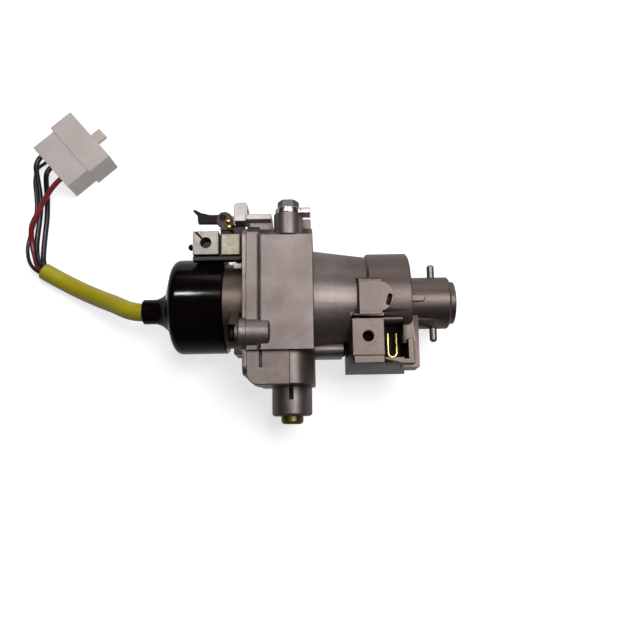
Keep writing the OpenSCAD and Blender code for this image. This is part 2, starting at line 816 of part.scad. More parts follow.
// Terminal group above the boot
base_z = 9;
base_top = tongue_z + tongue_thick;
block_z = base_top + 7;
base_y = boot_r - 1.1;
base_left = plate_x - 22.2;
terminal_low = [base_left - 0.2, base_y - 1];
terminal_size = [11.4, 10.8];
lead_at = terminal_low + terminal_size / 2;
terminal_screw_at = [terminal_low[0], terminal_low[1] + 4.4, base_top + 3];

module terminal_base() {
    color([0.1, 0.09, 0.09]) {
        top = base_y + 9.2;
        lip_right = plate_x - 1.6;
        lip_y = base_y - 1.2;
        span([base_left, base_y, base_z], [plate_x, top, base_top]);
        span([pivot_at[0] - 1.8, top - over, base_z], [plate_x, seat_y - seat, base_top]);
        // Shelf and upright lip in front of the blocks
        span([base_left, lip_y - 0.6, base_top - 0.8], [lip_right, base_y + over, base_top]);
        span([base_left, lip_y - 0.6, base_top - over], [lip_right, lip_y, base_top + 5]);
        span([base_left - 0.4, lip_y - 2.2, base_top + 1.6],
            [lip_right + 0.4, lip_y - 0.2, base_top + 5.4]);
    }
}

module terminal_block() {
    color("lightsteelblue") difference() {
        translate([terminal_low[0], terminal_low[1], base_top])
            cube([terminal_size[0], terminal_size[1], block_z - base_top]);
        translate([lead_at[0], lead_at[1], base_top + 1])
            cylinder(h = block_z, r = lead_r);
        // Slit from the hole to the upper left corner
        translate([lead_at[0], lead_at[1], block_z - 1]) rotate(132)
            span([0, -0.3, 0], [9, 0.3, 2]);
        translate(terminal_screw_at - [over, 0, 0]) along_x() cylinder(h = 5, r = 1);
    }
}

module terminal_screw() {
    color("gray") translate(terminal_screw_at) {
        along_x() translate([0, 0, -1]) cylinder(h = 4.4, r = 0.95);
        rotate([0, -90, 0]) rotate_extrude() polygon(concat([[0, 0]],
            [for (a = [0:15:90]) [1.5 * cos(a), 1.2 + 1.5 * sin(a)]]));
    }
}

module contact_block() {
    left = plate_x - 9.7;
    right = plate_x - 1.7;
    color("tan") difference() {
        span([left, base_y - 1, base_top], [right, base_y + 8.3, block_z - 0.4]);
        span([left - over, base_y + 1.2, base_top - over], [right + over, base_y + 5.2, base_top + 2]);
    }
}

// Contact in the pocket window
insert_t = 5;

module pocket_insert() {
    floor_z = pad_z - window_d;
    color([0.08, 0.08, 0.08]) difference() {
        span([pad_split + seat, window_low + seat, floor_z],
            [window_right - seat, window_high - seat, floor_z + insert_t]);
        span([pad_split + 3, window_low + 4, floor_z + insert_t - 1.5],
            [window_right - 3, window_high - 3, floor_z + insert_t + over]);
    }
}

module pocket_spring() {
    mid_x = pad_split + window_w / 2 + 0.2;
    half = 1.9;
    bend_y = window_low + 3.2;
    leg = 8.6;
    z = pad_z - window_d + insert_t + spring_wire_r + 0.1;
    color("gold") translate([mid_x, bend_y, z]) {
        rotate([0, 0, 180]) rotate_extrude(angle = 180)
            translate([half, 0]) circle(spring_wire_r, $fn = 24);
        for (side = [-1, 1])
            translate([side * half, 0, 0]) rotate([-90, 0, 0])
                cylinder(h = leg, r = spring_wire_r, $fn = 24);
    }
}

// Routes of the lead, in the part's own frame
sleeve_route = [[-70, 4, 23.5], [-75.5, 4, 23.5], [-81.5, 5.6, 21.6], [-88.5, 9, 17.4],
    [-96.5, 12.6, 12.8], [-105, 16.6, 8.6], [-113.5, 20.9, 5.8], [-121.5, 25.2, 4.7],
    [-129, 29.5, 4.5]];
black_route = [[-125.7, 29.3, 6], [-128.3, 30.8, 6], [-132, 34.2, 5], [-133.8, 39.5, 3.9],
    [-134.2, 46, 3.4], [-133.7, 54, 3.4], [-133, 62, 4.2], [-133, 70, 6], [-133.6, 77.5, 8.6],
    [-133.7, 83, 10.6], [-131.9, 87.3, 11], [-127.4, 91.3, 11]];
second_route = [[-125.7, 29.3, 3], [-128.3, 30.8, 3], [-130.7, 34.8, 2.3], [-131.2, 41, 1.8],
    [-130.9, 50, 1.7], [-130.2, 58, 2.4], [-129.6, 66, 4.4], [-129.1, 73, 7.8],
    [-128.4, 78, 10.4], [-126.7, 81.3, 11], [-122.1, 85.2, 11]];
red_route = [[-127.2, 26.7, 3], [-129.8, 28.2, 3], [-133.3, 32, 2.3], [-135.7, 38.5, 1.7],
    [-137.4, 46, 2.2], [-136.3, 53, 5.8], [-132.8, 59.6, 7.4], [-129.2, 66, 8.8],
    [-125.2, 71.4, 10.2], [-121.4, 75.3, 11], [-116.9, 79.2, 11]];
thin_route = [[-127.3, 26.5, 6], [-129.9, 28, 6], [-134.4, 31, 4.6], [-138.4, 36, 1.8],
    [-139.9, 43, 1], [-138.8, 50, 1], [-137, 57, 1], [-136.4, 64, 1.2], [-136.9, 71, 1.7],
    [-137.2, 78, 3.2], [-135.7, 84.1, 4.5], [-131.9, 87.3, 4.5], [-127.4, 91.3, 4.5]];

function unit(v) = v / norm(v);

// Round tube swept along a route, with one ring at each of its points
module tube(route, d, sides) {
    n = len(route);
    rings = [for (i = [0:n - 1])
        let (t = unit(route[min(i + 1, n - 1)] - route[max(i - 1, 0)]),
            side = unit(cross(t, [0, 0, 1])), up = cross(side, t))
        for (k = [0:sides - 1]) let (a = 360 * (k + 0.5) / sides)
            route[i] + d / 2 * (cos(a) * side + sin(a) * up)];
    walls = [for (i = [0:n - 2]) for (k = [0:sides - 1])
        let (a = sides * i + k, b = sides * i + (k + 1) % sides)
        for (face = [[a, b, b + sides], [a, b + sides, a + sides]]) face];
    first = [for (k = [sides - 1:-1:0]) k];
    last = [for (k = [0:sides - 1]) sides * (n - 1) + k];
    polyhedron(rings, concat(walls, [first], [last]), convexity = 10);
}

module yellow_sleeve() { color("olive") tube(sleeve_route, sleeve_d - seat, 12); }
module black_wire() { color([0.1, 0.1, 0.1]) tube(black_route, wire_d, 8); }
module second_wire() { color([0.14, 0.12, 0.12]) tube(second_route, wire_d, 8); }
module red_wire() { color("firebrick") tube(red_route, wire_d, 8); }
module thin_wire() { color([0.1, 0.1, 0.1]) tube(thin_route, thin_d, 8); }

// Connector: centre on the table, cell columns across it and cell rows above the table
connector_at = [-115.2, 89.4];
connector_turn = 41;
columns = [-6.6, 1.4, 9.4];
rows = [4.5, 11];
cell_w = 6.8;
cell_h = 3.4;
cell_d = 15;
wired = [[-6.6, 11], [1.4, 11], [9.4, 11], [9.4, 4.5]];

module in_connector() {
    translate([connector_at[0], connector_at[1], 0]) rotate(connector_turn) children();
}

module connector() {
    half = connector_l / 2;
    color("antiquewhite") in_connector() difference() {
        union() {
            span([-half, -14, 0.6], [1, 13.8, connector_t - 0.6]);
            span([0, -15.4, 0], [half, 16.4, connector_t]);
            // Lock tongue
            span([half - over, 0, 2], [half + 6, 6, 4.4]);
        }
        for (v = columns)
            for (z = rows)
                span([half - cell_d, v - cell_w / 2, z - cell_h / 2],
                    [half + over, v + cell_w / 2, z + cell_h / 2]);
        for (at = wired)
            translate([-half - over, at[0], at[1]]) along_x()
                cylinder(h = connector_l - cell_d + 1, r = wire_d / 2 + seat);
    }
}

module connector_terminals() {
    half = connector_l / 2;
    wall = 0.5;
    color("gold") in_connector() for (at = wired)
        translate([half - cell_d, at[0], at[1]]) difference() {
            span([seat, -cell_w / 2 + seat, -cell_h / 2 + seat],
                [cell_d - 3, cell_w / 2 - seat, cell_h / 2 - seat]);
            span([2, -cell_w / 2 + wall, -cell_h / 2 + wall],
                [cell_d, cell_w / 2 - wall, cell_h / 2 - wall]);
        }
}

place() lock_body();
place() end_plate();
place() switch_case();
place() rubber_boot();
place() switch_base();
place() contact_studs();
place() switch_rotor();
place() contact_bridge();
place() return_spring();
place() case_screws();
place() drive_shaft();
place() shaft_bush();
place() key_plug();
place() plug_wafers();
place() lock_bolt();
place() bolt_spring();
place() nose_pins();
place() hex_bolt();
place() tab_washer();
place() bracket();
place() lever_pin();
place() trip_lever();
place() lever_cap();
place() cap_rivets();
place() terminal_base();
place() terminal_block();
place() terminal_screw();
place() contact_block();
place() pocket_insert();
place() pocket_spring();
yellow_sleeve();
black_wire();
second_wire();
red_wire();
thin_wire();
connector();
connector_terminals();
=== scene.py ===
"""Looks of an ignition switch with steering lock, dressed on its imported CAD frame."""

from __future__ import annotations

import logging
import math
from dataclasses import dataclass
from enum import Enum
from typing import Mapping, Sequence, Union

import bmesh
import bpy
from mathutils import Matrix, Vector


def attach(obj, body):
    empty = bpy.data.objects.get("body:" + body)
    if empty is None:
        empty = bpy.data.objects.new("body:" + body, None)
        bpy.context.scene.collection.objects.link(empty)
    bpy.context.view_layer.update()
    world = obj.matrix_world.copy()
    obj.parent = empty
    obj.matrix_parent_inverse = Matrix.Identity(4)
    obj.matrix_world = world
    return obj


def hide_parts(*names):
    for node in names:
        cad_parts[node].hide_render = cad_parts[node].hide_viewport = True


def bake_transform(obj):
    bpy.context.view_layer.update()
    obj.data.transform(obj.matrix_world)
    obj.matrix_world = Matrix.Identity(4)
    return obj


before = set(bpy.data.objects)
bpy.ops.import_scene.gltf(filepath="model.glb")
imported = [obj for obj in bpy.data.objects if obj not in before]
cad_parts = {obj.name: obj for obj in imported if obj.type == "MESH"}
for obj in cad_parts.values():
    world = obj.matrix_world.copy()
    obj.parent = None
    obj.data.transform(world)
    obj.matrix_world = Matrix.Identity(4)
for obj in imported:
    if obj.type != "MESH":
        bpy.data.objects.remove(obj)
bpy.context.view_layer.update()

log = logging.getLogger("ignition_switch")

MM = 0.001
TINY = 1e-6
# Corners of a CAD copy that lie nearer than this are one, in metres.
MERGE = 2e-6
# Faces of a CAD copy that bend less than this are one, in degrees.
LEVEL = 0.6
# An edge that bends more than this is rounded, in degrees, in so many steps.
SHARP = 34.0
ROUND_STEPS = 2
# Shading breaks at an edge that bends more than this, in degrees.
SHADE_BREAK = 40.0
# Share of large faces in the corner normals.
FACE_WEIGHT = 80
# A face counts as square to an axis from this part of its normal on.
SQUARE = 0.985
# Corners round a hole in a plate.
RING = 48
# Steps round a quarter of a circle.
CORNER = 6

Point = tuple[float, float, float]
Pair = tuple[float, float]
Rect = tuple[Pair, Pair]
Box = tuple[Point, Point]
Outline = Sequence[Pair]
Colour = tuple[float, float, float, float]

X_AXIS: Point = (1, 0, 0)
Z_AXIS: Point = (0, 0, 1)


def srgb(red: int, green: int, blue: int) -> Colour:
    """Turn a display colour into the linear colour that a shader takes.

    Args:
        red: Red, from 0 to 255.
        green: Green, from 0 to 255.
        blue: Blue, from 0 to 255.

    Returns:
        The linear colour, with full alpha.
    """
    parts = [value / 255 for value in (red, green, blue)]
    lin = [v / 12.92 if v <= 0.04045 else ((v + 0.055) / 1.055) ** 2.4 for v in parts]
    return lin[0], lin[1], lin[2], 1.0


def metres(points: Sequence[Point]) -> list[Vector]:
    """Turn points in millimetres into vectors in metres.

    Args:
        points: Points in millimetres.

    Returns:
        The same points in metres.
    """
    return [Vector(p) * MM for p in points]


def around(count: int) -> list[Vector]:
    """List even directions round a circle.

    Args:
        count: How many.

    Returns:
        The directions, as unit vectors on the XY plane.
    """
    angles = [2 * math.pi * i / count for i in range(count)]
    return [Vector((math.cos(angle), math.sin(angle))) for angle in angles]


def corners(rect: Rect) -> list[Pair]:
    """List a rectangle's corners in order.

    Args:
        rect: Its lowest and its highest corner.

    Returns:
        The four corners.
    """
    (left, low), (right, high) = rect
    return [(left, low), (right, low), (right, high), (left, high)]


def within(box: Box, place: Vector) -> bool:
    """Tell whether a place lies in a box.

    Args:
        box: The box's lowest and highest corner, in millimetres.
        place: The place, in metres.

    Returns:
        Whether it does.
    """
    low, high = metres(box)
    return all(a <= c <= b for a, c, b in zip(low, place, high))


class Signal:
    """One output socket of a net; arithmetic on it adds Math nodes."""

    def __init__(self, net: Net, socket: bpy.types.NodeSocket | None) -> None:
        """Wrap a socket of a net."""
        self.net = net
        self.socket = socket

    def _math(self, operation: str, first: Value, second: Value) -> Signal:
        """Add one Math node.

        Args:
            operation: Blender's name of the operation.
            first: First operand.
            second: Second operand.

        Returns:
            The node's result.
        """
        return self.net.node("ShaderNodeMath", {"operation": operation}, {0: first, 1: second})

    def __add__(self, other: Value) -> Signal:
        """Add a value."""
        return self._math("ADD", self, other)

    def __radd__(self, other: Value) -> Signal:
        """Add to a value."""
        return self._math("ADD", other, self)

    def __sub__(self, other: Value) -> Signal:
        """Subtract a value."""
        return self._math("SUBTRACT", self, other)

    def __rsub__(self, other: Value) -> Signal:
        """Subtract from a value."""
        return self._math("SUBTRACT", other, self)

    def __mul__(self, other: Value) -> Signal:
        """Multiply by a value."""
        return self._math("MULTIPLY", self, other)

    def __rmul__(self, other: Value) -> Signal:
        """Multiply a value."""
        return self._math("MULTIPLY", other, self)


Value = Union[Signal, float, Sequence[float]]


class Net:
    """The node net of one material or world."""

    def __init__(self, owner: bpy.types.Material | bpy.types.World) -> None:
        """Start an empty net.

        Args:
            owner: The material or world that it belongs to.
        """
        self.owner = owner
        owner.use_nodes = True
        self.tree = owner.node_tree
        self.tree.nodes.clear()

    def node(
        self,
        kind: str,
        settings: Mapping[str, object] | None = None,
        inputs: Mapping[int | str, Value] | None = None,
        output: int | str = 0,
    ) -> Signal:
        """Add a node, with its settings first and its sockets after them.

        Args:
            kind: Blender's name of the node's type.
            settings: Properties of the node.
            inputs: Values or links of its sockets, by name or number.
            output: The output that is handed back.

        Returns:
            That output.
        """
        made = self.tree.nodes.new(kind)
        for key, value in (settings or {}).items():
            setattr(made, key, value)
        for key, value in (inputs or {}).items():
            if isinstance(value, Signal):
                self.tree.links.new(value.socket, made.inputs[key])
            else:
                made.inputs[key].default_value = value
        return Signal(self, made.outputs[output] if made.outputs else None)

    def place(self, scale: Point = (1, 1, 1), turn: Point = (0, 0, 0)) -> Signal:
        """Object coordinates, stretched and turned.

        Args:
            scale: Scale along each axis.
            turn: Turn about each axis, in degrees.

        Returns:
            The coordinates.
        """
        where = self.node("ShaderNodeTexCoord", output="Object")
        turned = [math.radians(a) for a in turn]
        return self.node("ShaderNodeMapping", None, {0: where, 2: turned, 3: scale})

    def along(self, axis: str) -> Signal:
        """One of the object coordinates.

        Args:
            axis: X, Y or Z.

        Returns:
            The coordinate, in metres.
        """
        where = self.node("ShaderNodeTexCoord", output="Object")
        return self.node("ShaderNodeSeparateXYZ", None, {0: where}, axis)

    def noise(
        self, scale: float, detail: float = 2.0, rough: float = 0.5, where: Signal | None = None
    ) -> Signal:
        """Fractal noise between about 0 and 1.

        Args:
            scale: Features per metre.
            detail: Octaves of detail.
            rough: Weight of the finer octaves.
            where: Coordinates, plain object coordinates if left out.

        Returns:
            The noise value.
        """
        inputs = {
            "Vector": where or self.place(), "Scale": scale, "Detail": detail, "Roughness": rough,
        }
        return self.node("ShaderNodeTexNoise", None, inputs)

    def span(self, value: Value, low: float, high: float, to: Pair = (0, 1)) -> Signal:
        """Map a range of a value onto another, clamped.

        Args:
            value: The value.
            low: Start of its range.
            high: End of its range.
            to: Range to map it onto.

        Returns:
            The mapped value.
        """
        inputs = {0: value, 1: low, 2: high, 3: to[0], 4: to[1]}
        return self.node("ShaderNodeMapRange", None, inputs)

    def mix(self, factor: Value, first: Value, second: Value) -> Signal:
        """Mix two colours.

        Args:
            factor: Share of the second colour.
            first: First colour.
            second: Second colour.

        Returns:
            The mixed colour.
        """
        settings = {"data_type": "RGBA"}
        return self.node("ShaderNodeMix", settings, {0: factor, 6: first, 7: second}, 2)

    def hollow(self, reach: float) -> Signal:
        """How deep a point lies in a recess of its own piece, from 0 to 1.

        Args:
            reach: Distance at which walls count, in metres.

        Returns:
            The mask.
        """
        settings = {"samples": 6, "only_local": True}
        open_air = self.node("ShaderNodeAmbientOcclusion", settings, {"Distance": reach}, "AO")
        return 1.0 - open_air

    def bump(self, height: Signal, strength: float, depth: float) -> Signal:
        """Surface relief from a height.

        Args:
            height: Height signal.
            strength: Strength of the relief.
            depth: Height of the relief, in metres.

        Returns:
            The bent normal.
        """
        inputs = {"Strength": strength, "Distance": depth, "Height": height}
        return self.node("ShaderNodeBump", None, inputs)

    def surface(self, inputs: Mapping[str, Value]) -> bpy.types.Material:
        """Close the net with a Principled surface.

        Args:
            inputs: Sockets of the surface.

        Returns:
            The finished material.
        """
        skin = self.node("ShaderNodeBsdfPrincipled", None, inputs)
        self.node("ShaderNodeOutputMaterial", None, {"Surface": skin})
        return self.owner


@dataclass(frozen=True)
class CastMetal:
    """Die-cast metal with clouding, fine grain and scratches, with painted shade in its recesses
    and along its barrel.
    """

    name: str = "cast_metal"
    slot: str = "zinc_casting"
    light: Colour = srgb(130, 121, 118)
    dark: Colour = srgb(98, 86, 82)
    scratch: Colour = srgb(176, 166, 162)
    # Colours of the painted shade in recesses and in deep pits.
    recess_shade: Colour = srgb(30, 22, 20)
    pit: Colour = srgb(9, 6, 6)
    metallic: float = 0.85
    roughness: float = 0.42
    # Features per metre.
    cloud_scale: float = 55.0
    grain_scale: float = 1500.0
    scratch_scale: float = 260.0
    # Stretch of the scratches along each axis, and their slant in degrees.
    scratch_stretch: Point = (1, 9, 1)
    scratch_slant: Point = (0, 0, 24)
    # Where painted shade along X starts and reaches its full darkness towards the barrel, in
    # millimetres.
    barrel_shade: Pair = (14.0, 30.0)
    # Share of the dark colour in that painted shade.
    barrel_shade_share: float = 0.9
    # How far the walls of a recess and of a deep pit may be for their painted shade, in
    # millimetres.
    recess_shade_reach: float = 4.0
    pit_reach: float = 14.0
    relief: float = 0.2

    def make(self) -> bpy.types.Material:
        """Build the material.

        Returns:
            The material.
        """
        net = Net(bpy.data.materials.new(self.name))
        cloud = net.noise(self.cloud_scale, 4, 0.6)
        grain = net.noise(self.grain_scale, 3, 0.6)
        where = net.place(self.scratch_stretch, self.scratch_slant)
        line = net.span(net.noise(self.scratch_scale, 2, 0.7, where), 0.66, 0.72)
        tone = net.span(cloud * 0.7 + grain * 0.3, 0.34, 0.66)
        colour = net.mix(tone, self.dark, self.light)
        # Painted shade: the colour darkens along X towards the barrel.
        start, end = self.barrel_shade
        barrel_shade = net.span(net.along("X"), start * MM, end * MM)
        colour = net.mix(barrel_shade * self.barrel_shade_share, colour, self.dark)
        colour = net.mix(line * 0.2, colour, self.scratch)
        # Painted shade: the piece's own recesses go dark.
        deep = net.span(net.hollow(self.recess_shade_reach * MM), 0.3, 0.9)
        colour = net.mix(deep * 0.9, colour, self.recess_shade)
        # Painted shade: deep pits go nearly black.
        deeper = net.span(net.hollow(self.pit_reach * MM), 0.6, 0.92)
        colour = net.mix(deeper, colour, self.pit)
        rough = net.span(grain, 0.3, 0.7, (self.roughness - 0.05, self.roughness + 0.08))
        return net.surface({
            "Base Color": colour,
            "Metallic": self.metallic,
            "Roughness": rough + deep * 0.2 - line * 0.06,
            "Normal": net.bump(grain * 0.6 + cloud * 0.4, 0.2, self.relief * MM),
        })


@dataclass(frozen=True)
class PlainMetal:
    """Drawn or plated metal with fine drawing lines, light staining and painted shade in its
    recesses.
    """

    name: str
    slot: str
    light: Colour
    dark: Colour
    roughness: float = 0.28
    metallic: float = 1.0
    # Colour of the painted shade in recesses.
    hollow_shade: Colour = srgb(12, 9, 8)
    # Features per metre, and the stretch of the drawing lines along each axis.
    stain_scale: float = 120.0
    line_scale: float = 700.0
    line_stretch: Point = (1, 1, 10)
    # How far the walls of a recess with painted shade may be, and height of the lines, in
    # millimetres.
    recess: float = 4.0
    relief: float = 0.05

    def make(self) -> bpy.types.Material:
        """Build the material.

        Returns:
            The material.
        """
        net = Net(bpy.data.materials.new(self.name))
        stain = net.noise(self.stain_scale, 3, 0.55)
        lines = net.noise(self.line_scale, 2, 0.5, net.place(self.line_stretch))
        tone = net.span(stain * 0.85 + lines * 0.15, 0.32, 0.68)
        colour = net.mix(tone, self.dark, self.light)
        # Painted shade: the piece's own recesses go nearly black.
        deep = net.span(net.hollow(self.recess * MM), 0.3, 0.6)
        colour = net.mix(deep * 0.95, colour, self.hollow_shade)
        rough = net.span(lines, 0.3, 0.7, (self.roughness - 0.04, self.roughness + 0.06))
        return net.surface({
            "Base Color": colour,
            "Metallic": self.metallic,
            "Roughness": rough + deep * 0.2,
            "Normal": net.bump(lines, 0.06, self.relief * MM),
        })


@dataclass(frozen=True)
class Moulding:
    """Moulded plastic or rubber with flow marks, fine grain, a soft gloss and, where set, a
    painted glow in its own colour.
    """

    name: str
    slot: str
    light: Colour
    dark: Colour
    roughness: float = 0.4
    mottle: float = 120.0
    gloss: float = 0.0
    coat_roughness: float = 0.12
    glow: float = 0.0
    glow_tint: Point = (1.0, 0.8, 0.7)
    glow_depth: float = 8.0
    shine: float = 0.5
    # Strength of the painted glow: emission that lightens the moulding though it is no lamp.
    painted_glow: float = 0.0
    grain_scale: float = 2200.0
    relief: float = 0.1
    relief_depth: float = 0.1

    def make(self) -> bpy.types.Material:
        """Build the material.

        Returns:
            The material.
        """
        net = Net(bpy.data.materials.new(self.name))
        flow = net.noise(self.mottle, 4, 0.6)
        grain = net.noise(self.grain_scale, 2, 0.5)
        tone = net.span(flow * 0.8 + grain * 0.2, 0.35, 0.65)
        colour = net.mix(tone, self.dark, self.light)
        limits = (self.roughness - 0.05, self.roughness + 0.08)
        return net.surface({
            "Base Color": colour,
            "Roughness": net.span(flow * 0.5 + grain * 0.5, 0.3, 0.7, limits),
            "Specular IOR Level": self.shine,
            "Coat Weight": self.gloss,
            "Coat Roughness": self.coat_roughness,
            "Subsurface Weight": self.glow,
            "Subsurface Radius": self.glow_tint,
            "Subsurface Scale": self.glow_depth * MM,
            # Painted light: the moulding glows in its own colour.
            "Emission Color": colour,
            "Emission Strength": self.painted_glow,
            "Normal": net.bump(grain, self.relief, self.relief_depth * MM),
        })


class Look(Enum):
    """The finishes of the part."""

    CASTING = CastMetal()
    CUP = CastMetal("case_cup", "zinc_casting", srgb(112, 98, 90), srgb(80, 68, 62))
    PLATE = PlainMetal(
        "bright_plate", "plated_steel", srgb(176, 170, 166), srgb(148, 142, 138), 0.42, 0.7
    )
    DULL = PlainMetal(
        "dull_steel", "dark_steel", srgb(140, 130, 126), srgb(104, 95, 91), 0.38, 0.8
    )
    PLUG = PlainMetal(
        "plug_nickel", "plug_metal", srgb(190, 182, 172), srgb(150, 142, 134), 0.34
    )
    BRASS = PlainMetal("brass", "brass", srgb(196, 172, 92), srgb(112, 94, 44), 0.3, 0.9)
    BOLT = PlainMetal("bolt_brass", "brass", srgb(124, 108, 62), srgb(72, 60, 32), 0.36, 0.8)
    WIRE = PlainMetal("contact_wire", "brass", srgb(228, 208, 132), srgb(176, 152, 84), 0.2, 0.9)
    TERMINAL = PlainMetal(
        "terminal_steel", "plated_steel", srgb(138, 133, 127), srgb(108, 103, 97), 0.42, 0.7
    )
    CHROME = PlainMetal(
        "bolt_plating", "plated_steel", srgb(206, 201, 197), srgb(170, 164, 160), 0.24
    )
    HEAD = PlainMetal("bolt_head", "plated_steel", srgb(108, 103, 99), srgb(86, 81, 77), 0.5, 0.7)
    CASE = Moulding(
        "black_moulding", "dark_moulding", srgb(26, 20, 20), srgb(14, 10, 10), 0.42, shine=0.3
    )
    BLACKED = Moulding(
        "black_lever", "black_steel", srgb(26, 18, 17), srgb(13, 9, 9), 0.42, 200, shine=0.1
    )
    INSERT = Moulding(
        "black_insert", "dark_moulding", srgb(16, 12, 12), srgb(9, 6, 6), 0.6, shine=0.1
    )
    PHENOLIC = Moulding(
        "brown_phenolic", "brown_phenolic", srgb(78, 42, 30), srgb(20, 10, 9), 0.34, 420, shine=0.2
    )
    PALE = Moulding(
        "mottled_block", "pale_moulding", srgb(204, 194, 174), srgb(156, 144, 122), 0.45, 520
    )
    BOOT = Moulding(
        "boot_rubber", "boot_rubber", srgb(14, 9, 9), srgb(8, 5, 5), 0.12, 90,
        shine=0.1, relief=0.02,
    )
    SLEEVE = Moulding(
        "yellow_sleeve", "yellow_pvc", srgb(178, 168, 26), srgb(160, 148, 20), 0.36, 60, 0.1
    )
    BLACK_WIRE = Moulding(
        "black_insulation", "black_pvc", srgb(22, 17, 18), srgb(14, 10, 11), 0.34, 200
    )
    RED_WIRE = Moulding(
        "red_insulation", "red_pvc", srgb(150, 32, 42), srgb(112, 20, 28), 0.34, 200
    )
    # The nylon's painted glow lightens its shaded sides.
    NYLON = Moulding(
        "nylon", "nylon", srgb(158, 150, 147), srgb(150, 142, 139), 0.4, 70,
        glow=0.6, shine=0.3, painted_glow=0.6,
    )


class Body(Enum):
    """The CAD bodies that the pieces ride on."""

    HOUSING = "housing"
    KEY = "key_cylinder"
    BOLT = "bolt"
    LEVER = "lever"


class FarEnd(Enum):
    """What a cord ends in."""

    BARE = "bare"
    CONNECTOR = "connector"


class Paint:
    """Hands out each finish's material, made once."""

    made: dict[Look, bpy.types.Material] = {}

    @classmethod
    def of(cls, look: Look) -> bpy.types.Material:
        """The material of a finish.

        Args:
            look: The finish.

        Returns:
            Its material.
        """
        if look not in cls.made:
            cls.made[look] = look.value.make()
        return cls.made[look]


